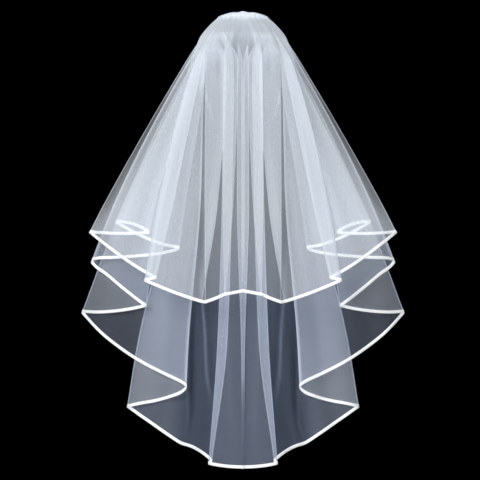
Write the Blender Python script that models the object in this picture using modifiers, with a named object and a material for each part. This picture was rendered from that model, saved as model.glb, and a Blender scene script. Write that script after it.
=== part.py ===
# Two-tier bridal veil of net cloth with a satin ribbon edge, gathered on a clear hair comb.
# Metres, +Z up. The wearer would face +Y, so the short tier faces -Y. The origin is on the comb,
# where it grips the hair. One oval of net is folded over the comb: the long part hangs next to
# the wearer, the short part outside it, and the two meet along a fold down each side.
import math
from collections import namedtuple

import bmesh
import bpy
from mathutils import Vector

# Cloth and trim
NET_WALL = 0.0010
RIBBON_WALL = 0.0010
RIBBON_WIDTH = 0.0062
SEAM_GAP = 0.0005
TIER_HALF_GAP = 0.0008  # from the fold between the tiers to the middle of either wall

# Gathered heading on the comb
HEADING_HALF = 0.050
HEADING_TOP = 0.0100
HEADING_DROOP = 0.0095  # how much lower the heading's ends are than its middle
HEADING_POWER = 2.4  # the larger it is, the flatter the heading's middle
BUMP_HEIGHT = 0.0013
BUMP_PITCH = 0.025
BUMP_REACH = 0.034
GATHER_DEPTH = 0.0011
GATHER_COUNT = 5.5  # small gathers on each half of the heading
GATHER_FADE = 0.020

# Heights at which the folds are set out, as drops below the comb. Down to the shoulder the cloth
# only fans out from its heading, and below it the folds open.
NECK_DROP = 0.017
SHOULDER_DROP = 0.043
CROWN_DROP = 0.096
CHEST_DROP = 0.370
WAIST_DROP = 0.650
WIDEST_DROP = 0.595

# Each pair is a drop below the comb and the value there
OUTLINE = (
    (-0.012, 0.050), (-0.001, 0.050), (NECK_DROP, 0.068), (SHOULDER_DROP, 0.087), (CROWN_DROP, 0.119),
    (CHEST_DROP, 0.276), (WIDEST_DROP, 0.322), (0.95, 0.322),
)
BACKWARD = (
    (-0.012, 0.000), (0.000, 0.002), (0.018, 0.020), (0.048, 0.062), (CROWN_DROP, 0.100),
    (0.200, 0.118), (CHEST_DROP, 0.124), (0.95, 0.126),
)
FORWARD = ((-0.012, 0.004), (0.050, 0.034), (CROWN_DROP, 0.052), (CHEST_DROP, 0.080), (0.95, 0.088))
LAYER_SPACING = (
    (-0.012, 0.0000), (-0.001, 0.0004), (NECK_DROP, 0.0022), (SHOULDER_DROP, 0.0035),
    (CROWN_DROP, 0.0058), (CHEST_DROP, 0.0080),
    (WIDEST_DROP, 0.0108), (0.95, 0.0115),
)
MIDDLE_SHARE = 0.56  # the layers lie this much closer at the middle of the back
FOLD_LAYER = 6.0  # the layer of the fold between the tiers

# A row for each fold of one half, from the side fold to the middle of the back. Widths are from
# the middle, at the heading, crown, chest, waist and hem; a fold that ends above the waist has none
# there. The layer counts outwards from the wearer, sag is how far the hem bows down on its way to
# the next fold, and bend is how far in from its crease a fold is rounded, for the distance between
# layers.
Fold = namedtuple("Fold", "name root crown chest waist hem hem_drop layer sag bend")
Line = namedtuple("Line", "fold other place")
LONG_TIER = (
    Fold("side_fold", 0.0500, 0.108, 0.236, None, 0.256, 0.416, 6.0, 0.004, 0.35),
    Fold("fifth_in", 0.0463, 0.074, 0.113, None, 0.127, 0.469, 5.0, 0.006, 0.35),
    Fold("fourth_out", 0.0425, 0.114, 0.258, None, 0.306, 0.495, 4.0, 0.006, 0.35),
    Fold("third_in", 0.0388, 0.084, 0.158, None, 0.194, 0.584, 3.0, 0.003, 0.35),
    Fold("second_out", 0.0350, 0.102, 0.230, None, 0.325, 0.598, 2.0, 0.014, 0.35),
    Fold("first_in", 0.0315, 0.076, 0.084, 0.108, 0.113, 0.746, 1.0, 0.003, 0.35),
    Fold("corner_out", 0.0290, 0.092, 0.142, 0.211, 0.234, 0.788, 0.0, -0.004, 0.35),
    Fold("hollow", 0.0272, 0.050, 0.080, 0.104, 0.126, 0.857, -0.9, -0.005, 3.00),
    Fold("pleat_in", 0.0242, 0.018, 0.022, 0.031, 0.062, 0.893, 0.5, 0.000, 0.35),
    Fold("pleat_out", 0.0210, 0.038, 0.042, 0.051, 0.069, 0.897, 1.5, 0.002, 0.35),
    Fold("box_in", 0.0095, 0.002, 0.002, 0.0018, 0.0018, 0.904, 2.1, 0.000, 0.35),
    Fold("box_out", 0.0055, 0.011, 0.012, 0.0045, 0.0035, 0.904, 3.1, 0.000, 0.35),
    Fold("middle", 0.0000, 0.000, 0.000, 0.000, 0.000, 0.904, 3.4, 0.000, 0.35),
)
SHORT_TIER = (
    Fold("side_fold", 0.0500, 0.108, 0.236, None, 0.256, 0.416, 6.0, 0.000, 0.35),
    Fold("seventh_in", 0.0475, 0.088, 0.172, None, 0.187, 0.438, 7.0, 0.003, 0.35),
    Fold("eighth_out", 0.0450, 0.118, 0.276, None, 0.307, 0.435, 8.0, 0.006, 0.35),
    Fold("ninth_in", 0.0428, 0.080, 0.136, None, 0.172, 0.527, 9.0, 0.000, 0.35),
    Fold("lap_out", 0.0402, 0.098, 0.168, None, 0.195, 0.532, 9.8, 0.000, 0.35),
    Fold("flute_in", 0.0376, 0.037, 0.049, None, 0.081, 0.574, 10.4, 0.000, 0.35),
    Fold("flute_out", 0.0352, 0.071, 0.0755, None, 0.075, 0.575, 11.4, 0.001, 0.35),
    Fold("tuck_in", 0.0245, 0.009, 0.019, None, 0.034, 0.561, 12.0, 0.000, 0.35),
    Fold("tuck_out", 0.0185, 0.038, 0.040, None, 0.037, 0.559, 13.0, 0.000, 0.35),
    Fold("middle", 0.0000, 0.000, 0.000, None, 0.000, 0.553, 13.4, 0.000, 0.35),
)
NOSE_LAYERS = 0.33  # the share of the step between layers that each side of a rounded fold takes
NOSE_LEAST = 0.0014
NOSE_SHARE = 0.25
WIDE_PANEL = 0.060
WIDE_PLACES = (None, 0.0, 0.2, 0.5, 0.8, 1.0)  # the fold itself, then places across its panel
NARROW_PLACES = (None, 0.0, 0.5, 1.0)
LEAST_SLANT = 0.5  # a ribbon on a hem steeper than this gets no taller
MIDDLE_MERGE = 0.00005

# Rows of the net: at these drops, then at these shares of the way from the crown to the hem
ROW_DROPS = (0.007, 0.020, 0.035, 0.047, 0.057, 0.068, 0.081, CROWN_DROP)
ROW_SHARES = (0.10, 0.22, 0.38, 0.62, 0.97, 1.0)

# Comb
COMB_WIDTH = 0.094
COMB_BAR_HEIGHT = 0.0060
COMB_THICKNESS = 0.0022
TOOTH_COUNT = 19
TOOTH_LENGTH = 0.038
TOOTH_TIP = 0.45
TOOTH_STEPS = 4
TOOTH_SLANT = 0.88  # how far a tooth goes down for its length
TOOTH_SPREAD = 0.10  # how far it leaves the cloth for its length
COMB_CLEARANCE = 0.0030

SLOPE_STEP = 0.0005


def through(points, at):
    """The value at a drop on the smooth curve through pairs of drop and value, never past a pair."""
    drops = [p[0] for p in points]
    values = [p[1] for p in points]
    last = len(points) - 1
    if at <= drops[0]:
        return values[0]
    if at >= drops[last]:
        return values[last]
    secants = [(values[i + 1] - values[i]) / (drops[i + 1] - drops[i]) for i in range(last)]
    slopes = [secants[0]]
    for before, after in zip(secants, secants[1:]):
        level = before * after <= 0.0
        slopes.append(0.0 if level else 2 * before * after / (before + after))
    slopes.append(secants[-1])
    i = max(k for k in range(last) if drops[k] <= at)
    span = drops[i + 1] - drops[i]
    t = (at - drops[i]) / span
    return (
        values[i] * (1 + 2 * t) * (1 - t) ** 2
        + slopes[i] * span * t * (1 - t) ** 2
        + values[i + 1] * t * t * (3 - 2 * t)
        + slopes[i + 1] * span * t * t * (t - 1)
    )


def smooth_step(t):
    t = max(0.0, min(1.0, t))
    return t * t * (3 - 2 * t)


def mix(a, b, t):
    return a + (b - a) * t


def heading_height(x):
    """How high the top of the gathers stands above the comb."""
    share = abs(x) / HEADING_HALF
    bump = BUMP_HEIGHT * math.cos(2 * math.pi * x / BUMP_PITCH) * (1 - smooth_step(abs(x) / BUMP_REACH))
    return HEADING_TOP + bump - HEADING_DROOP * share**HEADING_POWER


def gathers(x, drop):
    """The small gathers below the heading, which every layer shares so that they nest."""
    below = max(0.0, drop + heading_height(min(abs(x), HEADING_HALF)))
    depth = GATHER_DEPTH * math.e * below / GATHER_FADE * math.exp(-below / GATHER_FADE)
    return depth * math.cos(2 * math.pi * GATHER_COUNT * x / through(OUTLINE, drop))


def base_depth(x, drop):
    """Y of the surface that runs through the fold between the tiers."""
    share = x / through(OUTLINE, drop)
    return through(FORWARD, drop) * share * share - through(BACKWARD, drop)


def steepness(x, drop):
    """How much longer a step square to the base surface is when it is taken along Y."""
    here = base_depth(x, drop)
    across = base_depth(x + SLOPE_STEP, drop) - here
    down = base_depth(x, drop + SLOPE_STEP) - here
    return math.sqrt(1 + (across / SLOPE_STEP) ** 2 + (down / SLOPE_STEP) ** 2)


def veil_point(x, drop, layer, side):
    """A point of the cloth. Side is -1 on the long tier and 1 on the short one."""
    out = (layer - FOLD_LAYER) * spacing_at(x, drop) + side * TIER_HALF_GAP
    return Vector((x, base_depth(x, drop) + gathers(x, drop) - out * steepness(x, drop), -drop))


def spacing_at(x, drop):
    """The distance between neighbouring layers, which lie closer at the middle of the back."""
    share = smooth_step(2 * abs(x) / through(OUTLINE, drop))
    return through(LAYER_SPACING, drop) * mix(MIDDLE_SHARE, 1.0, share)


def fold_width(fold, drop):
    """How far a fold is from the middle of the back at a drop."""
    fan = fold.root / HEADING_HALF
    path = [
        (-heading_height(fold.root), fold.root), (NECK_DROP, fan * through(OUTLINE, NECK_DROP)),
        (SHOULDER_DROP, fan * through(OUTLINE, SHOULDER_DROP)), (CROWN_DROP, fold.crown),
        (CHEST_DROP, fold.chest),
    ]
    if fold.waist is not None:
        path.append((WAIST_DROP, fold.waist))
    path.append((fold.hem_drop, fold.hem))
    return through(path, drop)


def rounding(fold, width, drop):
    """The share of a panel that one rounded side takes."""
    room = max(NOSE_LEAST, fold.bend * spacing_at(fold_width(fold, drop), drop))
    return min(NOSE_SHARE, room / max(width, room))


def panel_share(line, drop):
    """How far across its panel a line lies, which leaves room for a rounded fold at either side."""
    if line.place is None:
        return 0.0
    width = abs(fold_width(line.other, drop) - fold_width(line.fold, drop))
    return mix(rounding(line.fold, width, drop), 1 - rounding(line.other, width, drop), line.place)


def panel_layer(line):
    share = 0.0 if line.place is None else mix(NOSE_LAYERS, 1 - NOSE_LAYERS, line.place)
    return mix(line.fold.layer, line.other.layer, share)


def line_width(line, drop):
    share = panel_share(line, drop)
    return mix(fold_width(line.fold, drop), fold_width(line.other, drop), share)


def hem_drop(line):
    share = panel_share(line, line.fold.hem_drop)
    return mix(line.fold.hem_drop, line.other.hem_drop, share) + line.fold.sag * 4 * share * (1 - share)


def top_drop(line):
    return -heading_height(line_width(line, -HEADING_TOP))


def line_point(line, drop, side):
    return veil_point(line_width(line, drop), drop, panel_layer(line), side)


def lines_of(folds):
    """The lines of one half of a tier, from heading to hem: each fold, then those of its panel."""
    lines = []
    for fold, other in zip(folds, folds[1:]):
        wide = abs(other.hem - fold.hem) > WIDE_PANEL
        lines += [Line(fold, other, place) for place in (WIDE_PLACES if wide else NARROW_PLACES)]
    lines.append(Line(folds[-1], folds[-1], None))
    return lines


def ribbon_drops(lines, width, side):
    """The drop that is a width from the hem on each line, measured square to a slanting hem."""
    hem = [line_point(line, hem_drop(line), side) for line in lines]
    slants = [1.0] * len(lines)
    for i, line in enumerate(lines[1:-1], 1):
        along = (hem[i + 1] - hem[i - 1]).normalized()
        down = (hem[i] - line_point(line, hem_drop(line) - width, side)).normalized()
        slants[i] = abs(down.z) / max(LEAST_SLANT, down.cross(along).length)
    for i, line in enumerate(lines[1:-1], 1):
        if line.place is None:
            slants[i] = (slants[i - 1] + slants[i + 1]) / 2
    return [hem_drop(line) - width * slant for line, slant in zip(lines, slants)]


def sheet_object(name, rows, wall, collection):
    """A wall through a grid of points, mirrored on the middle of the back."""
    width = len(rows[0])
    points = [p for row in rows for p in row]
    faces = [
        (r * width + c, r * width + c + 1, (r + 1) * width + c + 1, (r + 1) * width + c)
        for r in range(len(rows) - 1)
        for c in range(width - 1)
    ]
    mesh = bpy.data.meshes.new(name)
    mesh.from_pydata(points, [], faces)
    sheet = bpy.data.objects.new(name, mesh)
    collection.objects.link(sheet)
    mirror = sheet.modifiers.new("other_half", "MIRROR")
    mirror.merge_threshold = MIDDLE_MERGE
    thicken = sheet.modifiers.new("wall", "SOLIDIFY")
    thicken.thickness = wall
    thicken.offset = 0.0
    mesh.shade_smooth()
    return sheet


def make_tier(name, folds, side, collection):
    """A tier of net and the ribbon on its hem."""
    lines = lines_of(folds)
    starts = ribbon_drops(lines, RIBBON_WIDTH, side)
    ends = ribbon_drops(lines, RIBBON_WIDTH + SEAM_GAP, side)
    net_rows = [[line_point(line, top_drop(line), side) for line in lines]]
    for drop in ROW_DROPS:
        net_rows.append([line_point(line, drop, side) for line in lines])
    for share in ROW_SHARES:
        row = [line_point(line, mix(CROWN_DROP, end, share), side) for line, end in zip(lines, ends)]
        net_rows.append(row)
    ribbon_rows = [
        [line_point(line, start, side) for line, start in zip(lines, starts)],
        [line_point(line, hem_drop(line), side) for line in lines],
    ]
    for row in net_rows + ribbon_rows:
        row[-1].x = 0.0
    net = sheet_object(name, net_rows, NET_WALL, collection)
    ribbon = sheet_object(name + "_ribbon", ribbon_rows, RIBBON_WALL, collection)
    return net, ribbon


def comb_seat(x, drop):
    """Y of the comb's face towards the gathers, just clear of the long tier."""
    root = HEADING_HALF * min(1.0, abs(x) / through(OUTLINE, drop))
    corner = next(f.root for f in LONG_TIER if f.name == "corner_out")
    layer = FOLD_LAYER * max(0.0, (root - corner) / (HEADING_HALF - corner))
    return veil_point(x, drop, layer, -1).y - gathers(x, drop) + COMB_CLEARANCE


def make_comb(collection):
    """A bar with tapered teeth that lean back over the head, grown from the bar's lower faces."""
    cells = 2 * TOOTH_COUNT - 1
    comb = bmesh.new()
    bmesh.ops.create_grid(comb, x_segments=cells, y_segments=1, size=0.5)
    bmesh.ops.scale(comb, verts=comb.verts, vec=(COMB_WIDTH, COMB_BAR_HEIGHT, 1.0))
    front = bmesh.ops.extrude_face_region(comb, geom=comb.faces[:])
    lifted = [v for v in front["geom"] if isinstance(v, bmesh.types.BMVert)]
    bmesh.ops.translate(comb, verts=lifted, vec=(0.0, 0.0, COMB_THICKNESS))
    bmesh.ops.recalc_face_normals(comb, faces=comb.faces)
    pitch = COMB_WIDTH / cells
    lower = [f for f in comb.faces if f.normal.y < -0.9]
    teeth = [f for f in lower if round((f.calc_center_median().x + COMB_WIDTH / 2) / pitch - 0.5) % 2 == 0]
    for face in teeth:
        middle = face.calc_center_median()
        grown = face
        for step in range(TOOTH_STEPS):
            made = bmesh.ops.extrude_discrete_faces(comb, faces=[grown])
            grown = made["faces"][0]
            narrower = mix(1.0, TOOTH_TIP, (step + 1) / TOOTH_STEPS) / mix(1.0, TOOTH_TIP, step / TOOTH_STEPS)
            for vert in grown.verts:
                vert.co.x = middle.x + (vert.co.x - middle.x) * narrower
                vert.co.z = middle.z + (vert.co.z - middle.z) * narrower
                vert.co.y -= TOOTH_LENGTH / TOOTH_STEPS
    bmesh.ops.recalc_face_normals(comb, faces=comb.faces)
    for vert in comb.verts:
        place_on_head(vert)
    bmesh.ops.reverse_faces(comb, faces=comb.faces)
    mesh = bpy.data.meshes.new("comb")
    comb.to_mesh(mesh)
    comb.free()
    made = bpy.data.objects.new("comb", mesh)
    collection.objects.link(made)
    return made


def place_on_head(vert):
    """Bends the flat comb: the bar stands under the gathers and the teeth follow the head."""
    flat = vert.co.copy()
    below = COMB_BAR_HEIGHT / 2 - flat.y
    drop = below * TOOTH_SLANT - COMB_BAR_HEIGHT / 2
    vert.co = Vector((flat.x, comb_seat(flat.x, drop) + below * TOOTH_SPREAD + flat.z, -drop))


def finish(made, name, colour, roughness, alpha=1.0):
    """Gives a piece its plain material."""
    material = bpy.data.materials.new(name)
    material.use_nodes = True
    shader = material.node_tree.nodes["Principled BSDF"]
    shader.inputs["Base Color"].default_value = (*colour, 1.0)
    shader.inputs["Roughness"].default_value = roughness
    shader.inputs["Metallic"].default_value = 0.0
    shader.inputs["Alpha"].default_value = alpha
    made.data.materials.append(material)


def main():
    for old in list(bpy.data.objects):
        bpy.data.objects.remove(old)
    collection = bpy.data.collections.new("bridal_veil")
    bpy.context.scene.collection.children.link(collection)
    long_net, long_ribbon = make_tier("long_tier", LONG_TIER, -1, collection)
    short_net, short_ribbon = make_tier("short_tier", SHORT_TIER, 1, collection)
    comb = make_comb(collection)
    for net in (long_net, short_net):
        finish(net, net.name, (0.86, 0.90, 0.94), 0.8, alpha=0.35)
    for ribbon in (long_ribbon, short_ribbon):
        finish(ribbon, ribbon.name, (0.96, 0.97, 0.98), 0.35)
    finish(comb, "comb", (0.90, 0.92, 0.93), 0.15, alpha=0.5)


main()
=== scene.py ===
import math
from collections import namedtuple

import bmesh
import bpy
import numpy as np
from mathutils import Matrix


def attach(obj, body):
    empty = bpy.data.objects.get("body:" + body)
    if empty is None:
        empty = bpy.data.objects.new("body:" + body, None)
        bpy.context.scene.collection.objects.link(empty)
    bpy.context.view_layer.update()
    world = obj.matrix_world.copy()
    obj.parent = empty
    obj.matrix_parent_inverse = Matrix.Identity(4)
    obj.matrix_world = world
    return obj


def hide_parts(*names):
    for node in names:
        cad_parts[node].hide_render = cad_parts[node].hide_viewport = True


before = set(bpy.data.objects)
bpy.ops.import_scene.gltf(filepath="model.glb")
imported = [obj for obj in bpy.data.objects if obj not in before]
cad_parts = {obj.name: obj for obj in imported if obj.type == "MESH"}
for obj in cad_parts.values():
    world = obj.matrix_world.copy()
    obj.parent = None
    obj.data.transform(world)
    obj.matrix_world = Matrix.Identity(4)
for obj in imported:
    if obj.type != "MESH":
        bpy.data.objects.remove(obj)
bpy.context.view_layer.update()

# ---- how the net hangs, set out as in the CAD: a row for each fold of one half, from the side fold to the
# middle of the back. Widths are from the middle at the heading, crown, chest, waist and hem. The layer
# counts outwards from the wearer, sag is the bow of the hem up to the next fold, bend the fold's roundness.
Fold = namedtuple("Fold", "name root crown chest waist hem hemDrop layer sag bend")
longTier = [
    Fold("sideFold", 0.0500, 0.104, 0.236, None, 0.256, 0.416, 6.0, 0.008, 0.35),
    Fold("fifthIn", 0.0470, 0.074, 0.113, None, 0.127, 0.469, 5.0, 0.003, 0.35),
    Fold("fourthOut", 0.0445, 0.1125, 0.256, None, 0.306, 0.495, 4.0, 0.006, 0.90),
    Fold("thirdIn", 0.0388, 0.084, 0.158, None, 0.194, 0.584, 3.0, 0.005, 0.35),
    Fold("secondOut", 0.0350, 0.102, 0.237, None, 0.327, 0.598, 2.0, 0.017, 0.35),
    Fold("firstIn", 0.0315, 0.076, 0.084, 0.108, 0.113, 0.746, 1.0, 0.008, 0.80),
    Fold("cornerOut", 0.0290, 0.092, 0.142, 0.211, 0.234, 0.788, 0.0, 0.002, 0.35),
    Fold("hollow", 0.0272, 0.050, 0.080, 0.104, 0.126, 0.8605, -0.9, -0.005, 3.00),
    Fold("pleatIn", 0.0242, 0.018, 0.022, 0.031, 0.062, 0.893, 0.5, 0.000, 0.35),
    Fold("pleatOut", 0.0210, 0.038, 0.042, 0.051, 0.069, 0.897, 1.5, 0.002, 0.35),
    Fold("boxIn", 0.0095, 0.0007, 0.0007, 0.0006, 0.0005, 0.904, 2.1, 0.000, 0.35),
    Fold("boxOut", 0.0055, 0.011, 0.012, 0.0040, 0.0008, 0.904, 3.1, 0.000, 0.35),
    Fold("middle", 0.0000, 0.000, 0.000, 0.000, 0.000, 0.904, 3.4, 0.000, 0.35),
]
shortTier = [
    Fold("sideFold", 0.0500, 0.104, 0.236, None, 0.256, 0.416, 6.0, -0.006, 0.35),
    Fold("seventhIn", 0.0487, 0.090, 0.172, None, 0.187, 0.438, 7.0, 0.003, 0.35),
    Fold("eighthOut", 0.0474, 0.1155, 0.2735, None, 0.308, 0.436, 8.0, 0.009, 0.35),
    Fold("ninthIn", 0.0428, 0.080, 0.136, None, 0.172, 0.527, 9.0, 0.000, 0.35),
    Fold("lapOut", 0.0402, 0.098, 0.168, None, 0.195, 0.532, 9.8, 0.003, 0.35),
    Fold("fluteIn", 0.0376, 0.032, 0.049, None, 0.081, 0.574, 10.4, 0.000, 0.35),
    Fold("fluteOut", 0.0352, 0.0745, 0.0755, None, 0.075, 0.575, 11.4, 0.001, 0.35),
    Fold("tuckIn", 0.0245, 0.009, 0.019, None, 0.034, 0.5588, 12.0, 0.000, 0.35),
    Fold("tuckOut", 0.0185, 0.038, 0.040, None, 0.037, 0.5598, 13.0, 0.000, 0.35),
    Fold("middle", 0.0000, 0.000, 0.000, None, 0.000, 0.553, 13.4, 0.000, 0.35),
]

# Each pair is a drop below the comb and the value there, in metres
hang = {
    "outline": [(-0.012, 0.050), (-0.001, 0.050), (0.017, 0.068), (0.043, 0.087), (0.096, 0.119),
                (0.370, 0.276), (0.595, 0.322), (0.95, 0.322)],
    "backward": [(-0.012, 0.000), (0.000, 0.002), (0.018, 0.020), (0.048, 0.062), (0.096, 0.100),
                 (0.200, 0.118), (0.370, 0.124), (0.95, 0.126)],
    "forward": [(-0.012, 0.004), (0.050, 0.034), (0.096, 0.052), (0.370, 0.080), (0.95, 0.088)],
    "spacing": [(-0.012, 0.0000), (-0.001, 0.0004), (0.017, 0.0022), (0.043, 0.0035), (0.096, 0.0058),
                (0.370, 0.0080), (0.595, 0.0108), (0.95, 0.0115)],
    "neck": 0.017, "shoulder": 0.043, "crown": 0.096, "chest": 0.370, "waist": 0.650,
    "innerNeck": 0.012, "innerShoulder": 0.028,   # the inner folds open sooner
    "middleShare": 0.56,      # the layers lie closer at the middle of the back
    "foldLayer": 6.0,         # the layer of the fold between the tiers
    "tierHalfGap": 0.0008,
    "noseLayers": 0.33, "noseLeast": 0.0014, "noseShare": 0.25,
    "widePanel": 0.060,
    "ribbonWidth": 0.0062,
    "leastSlant": 0.5,
    "hemSkew": {"secondOut": 0.0050, "fifthIn": 0.0030, "firstIn": 0.0030},   # a bow fuller near one end
    "roundTips": {"firstIn": 0.0036, "fourthOut": 0.0034, "fifthIn": 0.0012, "secondOut": 0.0008},
}
heading = {
    "half": 0.050, "top": 0.0100, "droop": 0.0095, "power": 2.4,
    "bump": 0.0013, "bumpPitch": 0.025, "bumpReach": 0.034,
    "gatherDepth": 0.0011, "gatherCount": 5.5, "gatherFade": 0.020,
    "fineDepth": 0.0003, "fineCount": 15.0,   # small gathers between the large ones
}


def through(points, at):
    drops, values = (np.array(p, float) for p in zip(*points))
    steps = np.diff(drops)
    secants = np.diff(values) / steps
    product, total = secants[:-1] * secants[1:], secants[:-1] + secants[1:]
    inner = np.where(product > 0, 2 * product / np.where(total == 0, 1, total), 0)
    slopes = np.concatenate(([secants[0]], inner, [secants[-1]]))
    at = np.clip(at, drops[0], drops[-1])
    i = np.clip(np.searchsorted(drops, at, side="right") - 1, 0, len(steps) - 1)
    span = steps[i]
    t = (at - drops[i]) / span
    rise = values[i] * (1 + 2 * t) * (1 - t) ** 2 + values[i + 1] * t * t * (3 - 2 * t)
    return rise + span * t * (1 - t) * (slopes[i] * (1 - t) - slopes[i + 1] * t)


def smoothStep(t):
    t = np.clip(t, 0, 1)
    return t * t * (3 - 2 * t)


def mix(a, b, t):
    return a + (b - a) * t


def headingHeight(x):
    reach = np.abs(x)
    bump = heading["bump"] * np.cos(2 * np.pi * x / heading["bumpPitch"]) * (1 - smoothStep(reach / heading["bumpReach"]))
    return heading["top"] + bump - heading["droop"] * (reach / heading["half"]) ** heading["power"]


def gathers(x, drop):
    below = np.maximum(0, drop + headingHeight(np.minimum(np.abs(x), heading["half"]))) / heading["gatherFade"]
    turn = 2 * np.pi * x / through(hang["outline"], drop)
    fade = math.e * below * np.exp(-below)
    return fade * (heading["gatherDepth"] * np.cos(heading["gatherCount"] * turn)
                   + heading["fineDepth"] * np.cos(heading["fineCount"] * turn + 1.7))


def baseDepth(x, drop):
    share = x / through(hang["outline"], drop)
    return through(hang["forward"], drop) * share * share - through(hang["backward"], drop)


def spacingAt(x, drop):
    share = smoothStep(2 * np.abs(x) / through(hang["outline"], drop))
    return through(hang["spacing"], drop) * mix(hang["middleShare"], 1.0, share)


def veilPoint(x, drop, layer, side):
    step = 0.0005
    here = baseDepth(x, drop)
    across = (baseDepth(x + step, drop) - here) / step
    down = (baseDepth(x, drop + step) - here) / step
    out = (layer - hang["foldLayer"]) * spacingAt(x, drop) + side * hang["tierHalfGap"]
    y = here + gathers(x, drop) - out * np.sqrt(1 + across**2 + down**2)
    return np.stack(np.broadcast_arrays(x, y, -drop), -1)


def foldWidth(fold, drop):
    fan = fold.root / heading["half"]
    path = [(-float(headingHeight(fold.root)), fold.root)]
    sooner = ("innerNeck", "innerShoulder") if fold.name.endswith("In") else ("neck", "shoulder")
    path += [(hang[key], fan * float(through(hang["outline"], hang[key]))) for key in sooner]
    path += [(hang["crown"], fold.crown), (hang["chest"], fold.chest)]
    if fold.waist is not None:
        path.append((hang["waist"], fold.waist))
    path.append((fold.hemDrop, fold.hem))
    return through(path, drop)


# ---- lines of the cloth from heading to hem: each fold, then those of its panel
Line = namedtuple("Line", "fold other place")


def linesOf(folds):
    lines = []
    for fold, other in zip(folds, folds[1:]):
        wide = abs(other.hem - fold.hem) > hang["widePanel"]
        places = (None, 0.0, 0.2, 0.5, 0.8, 1.0) if wide else (None, 0.0, 0.5, 1.0)
        lines += [Line(fold, other, place) for place in places]
    lines.append(Line(folds[-1], folds[-1], None))
    return lines


def rounding(fold, width, drop):
    room = np.maximum(hang["noseLeast"], fold.bend * spacingAt(foldWidth(fold, drop), drop))
    return np.minimum(hang["noseShare"], room / np.maximum(width, room))


def panelShare(line, drop):
    if line.place is None:
        return np.zeros_like(np.asarray(drop, float))
    width = np.abs(foldWidth(line.other, drop) - foldWidth(line.fold, drop))
    return mix(rounding(line.fold, width, drop), 1 - rounding(line.other, width, drop), line.place)


def panelLayer(line):
    share = 0.0 if line.place is None else mix(hang["noseLayers"], 1 - hang["noseLayers"], line.place)
    return mix(line.fold.layer, line.other.layer, share)


def lineWidth(line, drop):
    return mix(foldWidth(line.fold, drop), foldWidth(line.other, drop), panelShare(line, drop))


def hemDrop(line):
    share = float(panelShare(line, line.fold.hemDrop))
    drop = mix(line.fold.hemDrop, line.other.hemDrop, share) + line.fold.sag * 4 * share * (1 - share)
    drop += hang["hemSkew"].get(line.fold.name, 0) * math.sin(2 * math.pi * share)
    if line.place == 0.0:                              # the hem turns a round tip at some folds
        drop += hang["roundTips"].get(line.fold.name, 0)
    if line.place == 1.0:
        drop -= hang["roundTips"].get(line.other.name, 0)
    return drop


def topDrop(line):
    return -float(headingHeight(lineWidth(line, -heading["top"])))


def linePoint(line, drop, side):
    return veilPoint(lineWidth(line, drop), np.asarray(drop, float), panelLayer(line), side)


def ribbonTops(lines, side):
    # the ribbon's height is measured square to a slanting hem
    hem = [linePoint(line, hemDrop(line), side) for line in lines]
    slants = [1.0] * len(lines)
    for i in range(1, len(lines) - 1):
        along = hem[i + 1] - hem[i - 1]
        down = hem[i] - linePoint(lines[i], hemDrop(lines[i]) - hang["ribbonWidth"], side)
        along, down = along / np.linalg.norm(along), down / np.linalg.norm(down)
        slants[i] = abs(down[2]) / max(hang["leastSlant"], np.linalg.norm(np.cross(down, along)))
    for i in range(1, len(lines) - 1):
        if lines[i].place is None:
            slants[i] = (slants[i - 1] + slants[i + 1]) / 2
    return [hemDrop(line) - hang["ribbonWidth"] * slant for line, slant in zip(lines, slants)]


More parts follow.
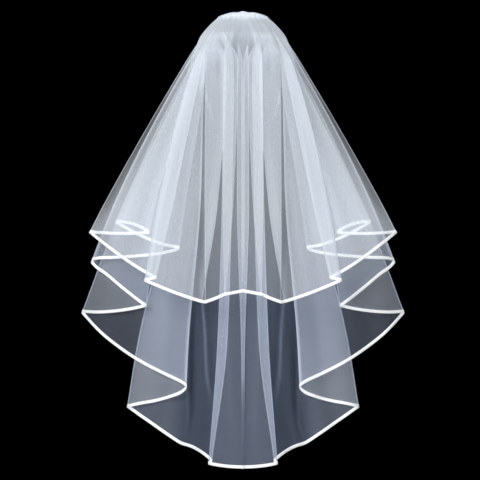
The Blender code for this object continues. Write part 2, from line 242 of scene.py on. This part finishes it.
# ---- the whole cloth as one ring of columns: long tier from the right side fold to the left one, then
# the short tier back again, so that the two tiers meet along both side folds
drape = {
    "topRows": [0.0, 0.3, 0.65],   # shares from the heading's top to the first drop
    "drops": [0.007, 0.011, 0.0155, 0.020, 0.025, 0.030, 0.035, 0.041, 0.047, 0.052, 0.057, 0.0625,
              0.068, 0.0745, 0.081, 0.0885, 0.096],
    "hangRows": 46,
    "hemHidden": 0.0012,           # the net ends this far up inside the ribbon
    "panelSteps": 5, "noseSteps": 4,
    "sway": 0.0030,                # depth of the broad waves that all layers share
    "ripple": 0.16,                # depth of each layer's own waves, for the distance between layers
}
net = {
    # how much of what is behind a layer it hides, by drop, and how many times that the panel after each fold
    # hides, high up and low down, with how white it looks low down
    "opacity": [(-0.012, 0.80), (0.000, 0.80), (0.017, 0.76), (0.043, 0.58), (0.058, 0.43), (0.072, 0.31), (0.088, 0.225),
                (0.110, 0.170), (0.200, 0.145), (0.370, 0.130), (0.595, 0.122), (0.95, 0.122)],
    "panelWeights": {"sideFold": (1.3, 1.5, 1.0), "seventhIn": (1.0, 1.9, 1.0), "eighthOut": (1.1, 2.7, 1.0),
                     "ninthIn": (3.4, 3.3, 1.0), "lapOut": (1.7, 2.7, 1.0), "fluteIn": (1.4, 1.6, 1.0),
                     "fluteOut": (1.4, 1.4, 1.0), "tuckIn": (2.0, 2.0, 1.0), "tuckOut": (1.2, 1.3, 1.0),
                     "fifthIn": (1.0, 1.4, 0.9), "fourthOut": (0.9, 1.35, 0.1), "thirdIn": (1.0, 1.5, 0.9),
                     "secondOut": (1.2, 0.80, 0.35), "firstIn": (1.5, 1.5, 0.95), "cornerOut": (1.3, 1.35, 0.35),
                     "hollow": (1.1, 1.0, 0.0), "pleatIn": (2.2, 2.3, 0.9), "pleatOut": (1.3, 1.45, 0.2),
                     "boxIn": (1.4, 1.7, 0.6), "boxOut": (1.4, 1.7, 0.6)},
    "weightsFrom": 0.05, "weightsBy": 0.12,   # the panels look alike above the first drop
    "weightsHigh": 0.18, "weightsLow": 0.43,
    "boxEnds": (0.71, 0.77), "boxReach": (0.0015, 0.0025), "boxShare": 0.66,
    "openRow": 0.120,              # above this drop the folds are still shut and the net is closer
    "creaseOpacity": 0.42,
    "thinColour": (0.50, 0.61, 0.88), "colour": (0.62, 0.67, 0.735), "thread": (0.68, 0.73, 0.795),
    "bluer": (0.35, 0.60),         # drops over which single layers turn bluer
    "roughness": 0.62,
    "pitch": 0.0019,               # from hole to hole
    "flatWidth": 1.40, "longLength": 0.93, "shortLength": 0.60,
}


def controls():
    rows = len(drape["topRows"]) + len(drape["drops"]) + drape["hangRows"]
    shares = np.linspace(0, 1, drape["hangRows"] + 1)[1:]

    def channels(lines, side):
        out = np.zeros((rows + 5, len(lines), 9))
        tops = ribbonTops(lines, side)
        for i, line in enumerate(lines):
            top, end = topDrop(line), hemDrop(line)
            first = drape["drops"][0]
            drops = [mix(top, first, s) for s in drape["topRows"]] + drape["drops"]
            drops += list(mix(hang["crown"], end - drape["hemHidden"], shares))
            drops += [mix(tops[i], end, s) for s in (0.0, 0.12, 0.5, 0.88, 1.0)]
            drops = np.array(drops)
            out[:, i, 0] = lineWidth(line, drops)
            out[:, i, 1] = drops
            out[:, i, 2] = panelLayer(line)
            out[:, i, 3] = 0.0 if line.fold.name == "sideFold" and line.place is None else side
            out[:, i, 4] = 1.0 if line.place is None and line.fold.name not in ("middle", "hollow") else 0.0
            out[:, i, 5:8] = net["panelWeights"].get(line.fold.name, (1.0, 1.0, 1.0))
            out[:, i, 8] = line.fold.name.endswith("In")
        out[:, -1, 0] = 0.0
        return out

    longHalf, shortHalf = channels(linesOf(longTier), -1), channels(linesOf(shortTier), 1)
    flip = np.array([-1] + [1] * 8)
    ring = [longHalf, longHalf[:, -2::-1] * flip, shortHalf[:, 1:] * flip, shortHalf[:, -2:0:-1]]
    return np.concatenate(ring, 1), longHalf.shape[1]


def smoothRing(ring):
    # a smooth curve through every control point of a row, closed round the ring
    size = ring[..., 0], ring[..., 2] * 0.006
    gap = np.sqrt(sum((np.roll(s, -1, 1) - s) ** 2 for s in size)) + 1e-5
    gap = np.sqrt(gap)[..., None]                      # centripetal
    before = np.roll(gap, 1, 1)
    ahead, behind = np.roll(ring, -1, 1), np.roll(ring, 1, 1)
    slope = (ring - behind) / before - (ahead - behind) / (before + gap) + (ahead - ring) / gap
    slopeAhead = np.roll(slope, -1, 1)
    crease = ring[0, :, 4]
    columns, marks = [], []
    for i in range(ring.shape[1]):
        nose = crease[i] > 0 or crease[(i + 1) % len(crease)] > 0
        marks.append(len(columns))
        steps = drape["noseSteps"] if nose else drape["panelSteps"]
        for k in range(steps):
            t = k / steps
            columns.append(
                ring[:, i] * (1 + 2 * t) * (1 - t) ** 2 + ahead[:, i] * t * t * (3 - 2 * t)
                + gap[:, i] * t * (1 - t) * (slope[:, i] * (1 - t) - slopeAhead[:, i] * t))
    return np.stack(columns, 1), marks


def waves(x, drop, layer, across):
    # broad waves shared by all layers, then small ones of each layer's own, both the same on either half
    low = smoothStep((drop - 0.06) / 0.45)
    side, far = np.abs(x), np.abs(across)
    sway = np.sin(side / 0.031 + 4.0 * drop + 0.6) + 0.6 * np.sin(side / 0.0135 - 7.0 * drop)
    own = (np.sin(far / 0.0150 + 5.0 * drop + 1.3 * layer) + 0.7 * np.sin(far / 0.0083 - 9.0 * drop)
           + 0.5 * np.sin(far / 0.022 - 14.0 * drop))
    return low * (drape["sway"] * sway + drape["ripple"] * spacingAt(x, drop) * own)


ring, longCount = controls()
ringFine, marks = smoothRing(ring)
ringFine = np.concatenate((ringFine, ringFine[:, :1]), 1)
x, drop, layer, side = (ringFine[..., k] for k in range(4))
crease = np.clip(ringFine[..., 4], 0, 1)
leftFold = marks[2 * longCount - 2]
plain = veilPoint(x, drop, layer, side)
chestRow = len(drape["topRows"]) + len(drape["drops"]) + drape["hangRows"] * 3 // 4
stride = np.linalg.norm(np.diff(plain[chestRow, :, :2], axis=0), axis=1)
across = np.concatenate(([0], np.cumsum(stride)))


# soft troughs and ridges, and bands of painted shade: the layers it shows on, its path as pairs of drop and width, how
# wide it is, how deep towards the wearer, and how much more opaque the net is made along it, below zero as painted
# shade beside folds and on the dome
creasesAndShadeBands = [
    ((-1.0, 0.4), [(0.44, 0.094), (0.57, 0.105), (0.73, 0.104), (0.81, 0.107), (0.865, 0.118)], 0.0065, 0.0035, -0.42),
    ((-1.0, 0.4), [(0.50, 0.086), (0.58, 0.0815), (0.63, 0.0768), (0.71, 0.0738), (0.765, 0.0640), (0.80, 0.0560)], 0.0028, -0.0025, 1.1),
    ((-1.0, 0.4), [(0.50, 0.075), (0.60, 0.072), (0.70, 0.067), (0.80, 0.060)], 0.0050, 0.0020, -0.18),
    ((-1.0, 0.1), [(0.73, 0.112), (0.81, 0.111), (0.844, 0.122), (0.86, 0.130)], 0.0020, -0.0020, 0.55),
    ((10.3, 11.6), [(0.140, 0.0790), (0.153, 0.0774), (0.185, 0.067), (0.222, 0.055)], 0.0028, -0.0015, 1.0),
    ((9.8, 10.5), [(0.050, 0.0740), (0.090, 0.0775), (0.130, 0.0800), (0.165, 0.0830)], 0.0060, 0.0, 1.0),
    ((9.8, 10.5), [(0.140, 0.0830), (0.200, 0.0810), (0.370, 0.0810), (0.555, 0.0790)], 0.0060, 0.0, -0.46),
    ((9.8, 13.5), [(0.050, 0.0370), (0.100, 0.0375), (0.250, 0.0390), (0.320, 0.0420)], 0.0030, 0.0, 0.5),
    ((-1.0, 13.5), [(0.006, 0.0040), (0.025, 0.0050), (0.045, 0.0050), (0.066, 0.0050)], 0.0150, 0.0, -0.16),
    ((-1.0, 13.5), [(0.050, 0.0), (0.150, 0.0), (0.350, 0.0), (0.580, 0.0)], 0.0022, 0.0, 1.5),
    ((9.8, 10.6), [(0.340, 0.0880), (0.440, 0.0880), (0.540, 0.0900), (0.640, 0.0900)], 0.0090, 0.0, -0.40),
    ((7.0, 9.0), [(0.120, 0.1300), (0.250, 0.2030), (0.370, 0.2680), (0.440, 0.3060)], 0.0170, 0.0, -0.50),
    ((1.0, 2.0), [(0.30, 0.130), (0.45, 0.136), (0.60, 0.140), (0.90, 0.135)], 0.0450, 0.0, 0.95),
    ((11.4, 13.5), [(0.002, 0.0125), (0.020, 0.0170), (0.048, 0.0232), (0.070, 0.0265)], 0.0024, -0.0018, 0.6),
    ((-1.0, 13.5), [(0.020, 0.046), (0.060, 0.0500), (0.098, 0.050), (0.140, 0.049)], 0.0050, 0.0, -0.20),
    ((-1.0, 13.5), [(0.015, 0.0140), (0.060, 0.0178), (0.096, 0.0175), (0.150, 0.0175)], 0.0042, 0.0, -0.20),
    ((9.9, 11.0), [(0.10, 0.100), (0.25, 0.118), (0.37, 0.126), (0.50, 0.140)], 0.0080, 0.0020, -0.15),
    ((7.0, 9.0), [(0.12, 0.118), (0.25, 0.180), (0.37, 0.222), (0.46, 0.250)], 0.0100, -0.0020, 0.25),
    ((7.0, 9.0), [(0.12, 0.100), (0.25, 0.158), (0.37, 0.196), (0.49, 0.226)], 0.0070, 0.0020, -0.20),
    ((1.0, 2.0), [(0.20, 0.110), (0.37, 0.150), (0.50, 0.180), (0.66, 0.200)], 0.0120, 0.0030, -0.12),
    ((1.0, 2.0), [(0.20, 0.126), (0.37, 0.185), (0.50, 0.240), (0.62, 0.270)], 0.0090, -0.0030, 0.12),
    ((0.0, 1.0), [(0.37, 0.108), (0.55, 0.138), (0.68, 0.155), (0.78, 0.165)], 0.0090, 0.0025, -0.12),
    ((0.5, 2.1), [(0.40, 0.030), (0.60, 0.032), (0.75, 0.026), (0.90, 0.020)], 0.0060, -0.0015, 0.15),
]


def creaseAndShadeEffect(name):
    columns = tierColumns(name)
    push, looks = np.zeros(x[:, columns].shape), np.ones(x[:, columns].shape)
    for (low, high), path, width, depth, opacityAndShade in creasesAndShadeBands:
        fall, side = drop[:, columns], np.abs(x[:, columns])
        length = path[-1][0] - path[0][0]
        ends = smoothStep((fall - path[0][0]) / (0.25 * length)) * smoothStep((path[-1][0] - fall) / (0.25 * length))
        on = (layer[:, columns] >= low) & (layer[:, columns] <= high)
        here = on * ends * np.exp(-((side - through(path, fall)) / width) ** 2)
        push += depth * here
        # below zero this paints shade by thinning the net, above zero it makes the net more opaque
        looks *= 1 + opacityAndShade * here
    return push, looks


def centred(columns):
    part = across[columns]
    return part - (part[0] + part[-1]) / 2


def tierColumns(name):
    return slice(0, leftFold + 1) if name == "long" else slice(leftFold, ringFine.shape[1])


def wavedPoints(name):
    columns = tierColumns(name)
    far = centred(columns)
    at = plain[:, columns].copy()
    at[..., 1] += waves(x[:, columns], drop[:, columns], layer[:, columns], far) + creaseAndShadeEffect(name)[0]
    return at, far


def gridObject(name, points, uv, fields, turned=False):
    rows, width = points.shape[:2]
    faces = [(r * width + c, r * width + c + 1, (r + 1) * width + c + 1, (r + 1) * width + c)
             for r in range(rows - 1) for c in range(width - 1)]
    if turned:
        faces = [face[::-1] for face in faces]
    mesh = bpy.data.meshes.new(name)
    mesh.from_pydata(points.reshape(-1, 3).tolist(), [], faces)
    layerUv = mesh.uv_layers.new(name="cut")
    flat = uv.reshape(-1, 2)
    layerUv.data.foreach_set("uv", flat[[v for face in faces for v in face]].ravel())
    for field, values in fields.items():
        mesh.attributes.new(field, "FLOAT", "POINT").data.foreach_set("value", values.ravel())
    made = bpy.data.objects.new(name, mesh)
    bpy.context.scene.collection.objects.link(made)
    mesh.shade_smooth()
    return made


def only(piece):
    bpy.ops.object.select_all(action="DESELECT")
    bpy.context.view_layer.objects.active = piece
    piece.select_set(True)


def applyAll(piece):
    only(piece)
    for modifier in list(piece.modifiers):
        bpy.ops.object.modifier_apply(modifier=modifier.name)


def blendOver(value, start, end):
    return smoothStep((value - start) / (end - start))


def evened(rows, reach=4):
    # each value is the mean of its neighbours along the cloth
    padded = np.pad(rows, ((0, 0), (reach, reach)), mode="edge")
    return sum(padded[:, k:k + rows.shape[1]] for k in range(2 * reach + 1)) / (2 * reach + 1)


def makeNet(name, turned):
    columns = tierColumns(name)
    points, far = wavedPoints(name)
    points = points[:-5]
    down = np.concatenate((np.zeros((1, points.shape[1])),
                           np.cumsum(np.linalg.norm(np.diff(points, axis=0), axis=2), 0)))
    uv = np.stack(np.broadcast_arrays(0.5 + far / 2.2, down / 1.1), -1)
    fall, whole = drop[:-5, columns], ringFine[:-5, columns]
    weight = mix(whole[..., 5], whole[..., 6], blendOver(fall, net["weightsHigh"], net["weightsLow"]))
    weight = mix(1.0, weight, blendOver(fall, net["weightsFrom"], net["weightsBy"]))
    # the crease table's factor thins the net where shade is painted and makes it more opaque along creases
    density = through(net["opacity"], fall) * weight * creaseAndShadeEffect(name)[1][:-5]
    # shut folds: the same cloth in less width hides more
    width = evened(np.linalg.norm(np.gradient(points, axis=1), axis=2))
    open_ = width[int(np.argmin(np.abs(fall[:, 0] - net["openRow"])))]
    times = np.where(fall < net["openRow"], np.clip(open_ / width, 0.8, 6.0), 1.0)
    density = 1 - (1 - np.clip(density, 0, 0.95)) ** times
    inner = mix(blendOver(fall, -0.01, 0.09), blendOver(fall, 0.09, 0.24), whole[..., 8])
    # the box pleat in the middle lies flat some way above the hem
    flat = blendOver(fall, *net["boxEnds"]) * (1 - blendOver(np.abs(x[:-5, columns]), *net["boxReach"]))
    inner = inner * (1 - flat)
    density = density * mix(1.0, net["boxShare"], flat)
    density = density + net["creaseOpacity"] * crease[:-5, columns] * inner * mix(1.0, 0.7, whole[..., 8])
    white = mix(1.0, whole[..., 7], blendOver(fall, *net["bluer"]))
    return gridObject(name + "Net", points, uv, {"closeness": density, "whiteness": white}, turned)


print("net: hanging the two tiers from one ring of", ringFine.shape[1], "columns")
longNet, shortNet = makeNet("long", True), makeNet("short", True)

# ---- the fold over the comb, where both tiers are one cloth
fold = {"columns": 220, "skirtOut": 0.0075, "skirtIn": 0.0050, "puff": 0.9, "opacity": 0.55}


def makeHeadingFold():
    xs = np.linspace(-heading["half"] * 1.004, heading["half"] * 1.004, fold["columns"])
    top = -headingHeight(np.clip(xs, -heading["half"], heading["half"]))
    crimp = 0.00035 * np.cos(2 * np.pi * xs / 0.00305) + 0.00025 * np.cos(2 * np.pi * np.abs(xs) / 0.0071 + 1)
    rows = []
    for share in (1.0, 0.66, 0.33, 0.0):       # up the outside
        rows.append(veilPoint(xs, top + share * fold["skirtOut"], 13.4 + fold["puff"], 1))
    for turn in (60, 30, 0, -30, -60):         # over the top
        bend = math.radians(turn)
        lift = 0.0011 * math.cos(bend)
        out, back = veilPoint(xs, top, 13.4 + fold["puff"], 1), veilPoint(xs, top, -0.9 - fold["puff"], -1)
        mid = mix(back, out, 0.5 + 0.5 * math.sin(bend))
        mid[:, 2] += lift
        rows.append(mid)
    for share in (0.0, 0.5, 1.0):              # down the inside
        rows.append(veilPoint(xs, top + share * fold["skirtIn"], -0.9 - fold["puff"], -1))
    points = np.stack(rows)
    push = np.linspace(-1, 1, len(rows))[:, None]
    points[..., 1] += np.sign(push) * 0.0005 + crimp * (0.4 + np.abs(push))
    points[..., 2] += crimp * 0.5
    uv = np.stack(np.broadcast_arrays(0.5 + xs * 6.0, np.linspace(0, 0.02, len(rows))[:, None]), -1)
    fade = np.array([0.04, 0.22, 0.45, 0.75, 1, 1, 1, 1, 1, 0.8, 0.5, 0.2])[:, None]
    density = np.broadcast_to(fold["opacity"] * fade, points.shape[:2])
    return gridObject("headingFold", points, uv, {"closeness": density, "whiteness": np.ones_like(density)})


headingFold = makeHeadingFold()
print("heading: folded over the comb")

# ---- the ribbon, folded over the net's edge all the way round
ribbon = {"thickness": 0.0011, "edge": 0.45, "colour": (0.90, 0.935, 0.98), "bright": (0.97, 0.99, 1.0),
          "roughness": 0.34, "stitch": 0.0030, "stitchPlace": 0.80}


def makeRibbon(name):
    points = wavedPoints(name)[0][-5:]
    stride = np.linalg.norm(np.diff(points[2], axis=0), axis=1)
    along = np.concatenate(([0], np.cumsum(stride)))
    uv = np.stack(np.broadcast_arrays(along / 4.0, np.array([1.0, 0.88, 0.5, 0.12, 0.0])[:, None]), -1)
    made = gridObject(name + "Ribbon", points, uv, {}, True)
    group = made.vertex_groups.new(name="body")
    width = points.shape[1]
    group.add([r * width + c for r in (1, 2, 3) for c in range(width)], 1.0, "REPLACE")
    thicken = made.modifiers.new("thickness", "SOLIDIFY")
    thicken.thickness, thicken.offset = ribbon["thickness"], 0.0
    thicken.vertex_group, thicken.thickness_vertex_group = "body", ribbon["edge"]
    applyAll(made)
    return made


longRibbon, shortRibbon = makeRibbon("long"), makeRibbon("short")
print("ribbon:", len(longRibbon.data.polygons) + len(shortRibbon.data.polygons), "faces")

# ---- the comb, and the thread that holds the gathers to it
comb = {"edge": 0.00035, "colour": (0.80, 0.85, 0.90), "roughness": 0.12, "opacity": 0.34,
        "teeth": 19, "width": 0.094, "threadRadius": 0.00022}


def makeComb():
    made = bpy.data.objects["comb"].copy()
    made.data = made.data.copy()
    made.name = "clearComb"
    bpy.context.scene.collection.objects.link(made)
    for key in list(made.keys()):
        del made[key]
    only(made)
    bpy.ops.object.mode_set(mode="EDIT")
    bpy.ops.mesh.select_all(action="SELECT")
    bpy.ops.mesh.remove_doubles(threshold=0.000001)
    bpy.ops.mesh.dissolve_limited(angle_limit=math.radians(1.0))
    bpy.ops.object.mode_set(mode="OBJECT")
    rounder = made.modifiers.new("rounded", "BEVEL")
    rounder.width, rounder.segments, rounder.limit_method = comb["edge"], 2, "ANGLE"
    rounder.angle_limit = math.radians(40)
    applyAll(made)
    bpy.ops.object.shade_smooth_by_angle(angle=math.radians(45))
    return made


def makeThread(base):
    cells = 2 * comb["teeth"] - 1
    pitch = comb["width"] / cells
    verts = [v.co.copy() for v in base.data.vertices if abs(v.co.z) < 0.0035]
    made = []
    for k in range(1, cells, 2):
        at = -comb["width"] / 2 + (k + 0.5) * pitch
        near = [v.y for v in verts if abs(v.x - at) < pitch]
        middle = (min(near) + max(near)) / 2
        bpy.ops.object.select_all(action="DESELECT")
        bpy.ops.mesh.primitive_torus_add(
            location=(at, middle - 0.0010, 0.0), rotation=(0, math.radians(90), math.radians(90 - 90)),
            major_radius=0.0036, minor_radius=comb["threadRadius"], major_segments=20, minor_segments=6)
        loop = bpy.context.object
        bpy.ops.object.mode_set(mode="EDIT")
        bpy.ops.mesh.select_all(action="SELECT")
        bpy.ops.transform.resize(value=(1.0, 0.80, 1.12))
        bpy.ops.object.mode_set(mode="OBJECT")
        bpy.ops.object.transform_apply(location=True, rotation=True, scale=True)
        lean = 0.0009 if k % 4 == 1 else -0.0006
        for v in loop.data.vertices:               # each stitch leans a little
            v.co.x += lean * v.co.z / 0.0036
        made.append(loop)
    bpy.ops.object.select_all(action="DESELECT")
    for loop in made:
        loop.select_set(True)
    bpy.context.view_layer.objects.active = made[0]
    bpy.ops.object.join()
    thread = bpy.context.object
    thread.name = "combThread"
    bpy.ops.object.shade_smooth()
    return thread


clearComb = makeComb()
combThread = makeThread(clearComb)
print("comb: rounded, with", comb["teeth"] - 1, "stitches")


# ---- materials
class Wire:                                        # a socket that sums are written with
    def __init__(self, tree, socket=None):
        self.tree, self.socket = tree, socket

    def node(self, kind, settings=(), values=(), output=0):
        made = self.tree.nodes.new(kind)
        for name, value in dict(settings).items():
            setattr(made, name, value)
        for name, value in dict(values).items():
            if isinstance(value, Wire):
                self.tree.links.new(value.socket, made.inputs[name])
            else:
                made.inputs[name].default_value = value
        return Wire(self.tree, made.outputs[output])

    def maths(self, operation, *terms):
        return self.node("ShaderNodeMath", {"operation": operation}, enumerate(terms))

    def __add__(self, other):
        return self.maths("ADD", self, other)

    def __sub__(self, other):
        return self.maths("SUBTRACT", self, other)

    def __rsub__(self, other):
        return self.maths("SUBTRACT", other, self)

    def __mul__(self, other):
        return self.maths("MULTIPLY", self, other)

    def __lt__(self, other):
        return self.maths("LESS_THAN", self, other)

    __radd__, __rmul__ = __add__, __mul__

    def clamped(self):
        held = self.maths("MULTIPLY", self, 1.0)
        held.socket.node.use_clamp = True
        return held

    def blend(self, first, second):                # a colour mix with this as its factor
        ends = [tone if isinstance(tone, Wire) else (*tone, 1) for tone in (first, second)]
        return self.node("ShaderNodeMix", {"data_type": "RGBA"}, {0: self, 6: ends[0], 7: ends[1]}, 2)


def newMaterial(name, **constants):
    material = bpy.data.materials.new(name)
    material.use_nodes = True
    shader = material.node_tree.nodes["Principled BSDF"]
    for key, value in constants.items():
        shader.inputs[key.replace("_", " ")].default_value = value
    return material, Wire(material.node_tree), shader


def feed(wire, shader, **links):
    for key, value in links.items():
        wire.tree.links.new(value.socket, shader.inputs[key.replace("_", " ")])


def noise(wire, vector, scale, detail=2.0):
    return wire.node("ShaderNodeTexNoise", {}, {"Vector": vector, "Scale": scale, "Detail": detail})


def stretched(wire, vector, scale):
    return wire.node("ShaderNodeMapping", {}, {"Vector": vector, "Scale": scale})


def netMaterial():
    material, wire, shader = newMaterial("netCloth", Sheen_Weight=0.25, Sheen_Roughness=0.45,
                                         Sheen_Tint=(0.75, 0.86, 1.0, 1.0), Roughness=net["roughness"])
    cut = wire.node("ShaderNodeUVMap", {"uv_map": "cut"})
    # closeness is the net's opacity, including the painted shade of the crease table
    density = wire.node("ShaderNodeAttribute", {"attribute_name": "closeness"}, (), 2)
    metres = wire.node("ShaderNodeSeparateXYZ", {}, {0: stretched(wire, cut, (2.2, 1.1, 1.0))})
    acrossCut = Wire(wire.tree, metres.socket.node.outputs[0])
    downCut = Wire(wire.tree, metres.socket.node.outputs[1])
    turn = 2 * math.pi / net["pitch"]
    first = (acrossCut * turn).maths("COSINE", acrossCut * turn)
    slant = acrossCut * (-0.5 * turn)
    rise = downCut * (0.866 * turn)
    holes = first + wire.maths("COSINE", slant + rise) + wire.maths("COSINE", slant - rise)
    thread = ((1.2 - holes) * 0.37).clamped()
    mottle = noise(wire, stretched(wire, cut, (2.2, 1.1, 1.0)), 260.0)
    gather = noise(wire, stretched(wire, cut, (2.2, 0.05, 1.0)), 42.0, 3.0)
    tight = ((density - 0.16) * 2.5).clamped()     # the streaks show where the net is gathered
    opacity = density * (0.92 + thread * 0.17) * (0.95 + mottle * 0.10)
    opacity = opacity * (1.0 + tight * (gather - 0.5) * 1.6)
    white = wire.node("ShaderNodeAttribute", {"attribute_name": "whiteness"}, (), 2)
    dense = (thread * 0.5 + mottle * 0.5).clamped().blend(net["colour"], net["thread"])
    colour = white.clamped().blend(net["thinColour"], dense)
    height = thread * 0.25 + mottle * 0.6
    bump = wire.node("ShaderNodeBump", {}, {"Strength": 0.08, "Distance": 0.0004, "Height": height})
    feed(wire, shader, Base_Color=colour, Alpha=opacity.clamped(), Normal=bump)
    return material


def ribbonMaterial():
    material, wire, shader = newMaterial("satinRibbon", Sheen_Weight=0.25, Sheen_Roughness=0.35,
                                         Anisotropic=0.4, Specular_IOR_Level=0.55)
    cut = wire.node("ShaderNodeUVMap", {"uv_map": "cut"})
    parts = wire.node("ShaderNodeSeparateXYZ", {}, {0: cut})
    along, up = Wire(wire.tree, parts.socket), Wire(wire.tree, parts.socket.node.outputs[1])
    cloud = noise(wire, stretched(wire, cut, (4.0, 0.01, 1.0)), 55.0)
    grain = noise(wire, stretched(wire, cut, (4.0, 0.0062, 1.0)), 2600.0)
    dash = (wire.maths("FRACT", along * (4.0 / ribbon["stitch"])) - 0.35) * 8.0
    line = wire.maths("ABSOLUTE", up - ribbon["stitchPlace"])
    stitch = (1.0 - line * 22.0).clamped() * dash.clamped()
    weft = wire.maths("SINE", up * (2 * math.pi * 16))
    colour = (cloud * 1.2 - stitch * 0.35 + 0.15).clamped().blend(ribbon["colour"], ribbon["bright"])
    height = weft * 0.15 + grain * 0.5 - stitch * 1.5
    bump = wire.node("ShaderNodeBump", {}, {"Strength": 0.35, "Distance": 0.0002, "Height": height})
    feed(wire, shader, Base_Color=colour, Roughness=ribbon["roughness"] + grain * 0.12 - 0.06, Normal=bump)
    return material


def combMaterial():
    material, wire, shader = newMaterial("clearPlastic", Alpha=comb["opacity"], Specular_IOR_Level=0.6,
                                         Coat_Weight=0.4, Coat_Roughness=0.06)
    place = wire.node("ShaderNodeTexCoord", {}, (), 3)
    cloud = noise(wire, place, 90.0)
    scuff = noise(wire, stretched(wire, place, (1.0, 1.0, 0.15)), 900.0, 3.0)
    pale = tuple(min(1.0, c * 1.08) for c in comb["colour"])
    bump = wire.node("ShaderNodeBump", {}, {"Strength": 0.08, "Distance": 0.0002, "Height": cloud})
    feed(wire, shader, Base_Color=cloud.blend(comb["colour"], pale),
         Roughness=comb["roughness"] + scuff * 0.10 - 0.03, Normal=bump)
    return material


def threadMaterial():
    material, wire, shader = newMaterial("sewingThread", Roughness=0.55, Sheen_Weight=0.2)
    place = wire.node("ShaderNodeTexCoord", {}, (), 3)
    twist = wire.node("ShaderNodeTexWave", {"bands_direction": "DIAGONAL"}, {"Vector": place, "Scale": 900.0})
    tone = Wire(wire.tree, twist.socket.node.outputs[1])
    bump = wire.node("ShaderNodeBump", {}, {"Strength": 0.4, "Distance": 0.0001, "Height": tone})
    feed(wire, shader, Base_Color=tone.blend((0.84, 0.87, 0.90), (0.97, 0.98, 1.0)), Normal=bump)
    return material


cloth, satin, plastic, sewing = netMaterial(), ribbonMaterial(), combMaterial(), threadMaterial()
for piece, material in ((longNet, cloth), (shortNet, cloth), (headingFold, cloth), (longRibbon, satin),
                        (shortRibbon, satin), (clearComb, plastic), (combThread, sewing)):
    piece.data.materials.clear()
    piece.data.materials.append(material)
print("materials: net, satin, clear plastic and thread")

# ---- how the pieces ride, and what they stand for
for piece, node, slot in ((longNet, "long_tier", "net"), (shortNet, "short_tier", "net"),
                          (headingFold, None, "net"), (longRibbon, "long_tier_ribbon", "satin"),
                          (shortRibbon, "short_tier_ribbon", "satin"), (clearComb, "comb", "comb"),
                          (combThread, None, "net")):
    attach(piece, "root")
    if node:
        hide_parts(node)

# ---- floor, light and camera
studio = {"floor": -1.62, "floorSize": 2.6, "distance": 6.0, "centre": (-0.006, -0.06, -0.45), "frameWidth": 0.96,
          "key": 168, "fill": 164, "back": 90, "top": 26}


def makeLight(name, place, size, power, shadow=True):
    data = bpy.data.lights.new(name, "AREA")
    data.size, data.energy, data.use_shadow = size, power, shadow
    light = bpy.data.objects.new(name, data)
    bpy.context.scene.collection.objects.link(light)
    aim = np.array((0, -0.05, -0.45)) - np.array(place)
    light.location = place
    light.rotation_euler = (math.acos(-aim[2] / np.linalg.norm(aim)), 0, math.atan2(-aim[0], aim[1]))
    return light


def makeStudio():
    scene = bpy.context.scene
    bpy.ops.object.select_all(action="DESELECT")
    bpy.ops.mesh.primitive_plane_add(size=studio["floorSize"], location=(0, 0, studio["floor"]))
    floor = bpy.context.object
    floor.name = "floor"
    floor.data.materials.append(newMaterial("paleFloor", Base_Color=(0.72, 0.72, 0.71, 1), Roughness=0.7)[0])
    makeLight("keyLight", (-2.2, -4.2, 1.4), 2.2, studio["key"])
    makeLight("fillLight", (1.4, -5.2, 0.6), 2.4, studio["fill"], shadow=False)
    makeLight("backLeft", (-2.6, 3.6, 1.0), 1.8, studio["back"])
    makeLight("backRight", (2.6, 3.6, 0.6), 1.8, studio["back"], shadow=False)
    makeLight("topLight", (0.0, -2.0, 3.2), 1.6, studio["top"])
    world = bpy.data.worlds.new("dark")
    world.use_nodes = True
    world.node_tree.nodes["Background"].inputs[0].default_value = (0, 0, 0, 1)
    scene.world = world
    scene.view_settings.view_transform = "Standard"
    scene.cycles.transparent_max_bounces = 40      # many layers of net lie behind each other
    data = bpy.data.cameras.new("camera")
    data.sensor_width = 36
    data.lens = 36 * studio["distance"] / studio["frameWidth"]
    data.clip_end = 100
    camera = bpy.data.objects.new("camera", data)
    scene.collection.objects.link(camera)
    middle = studio["centre"]
    camera.location = (middle[0], middle[1] - studio["distance"], middle[2])
    camera.rotation_euler = (math.radians(90), 0, 0)
    scene.camera = camera


makeStudio()
print("studio: floor, lights and camera")
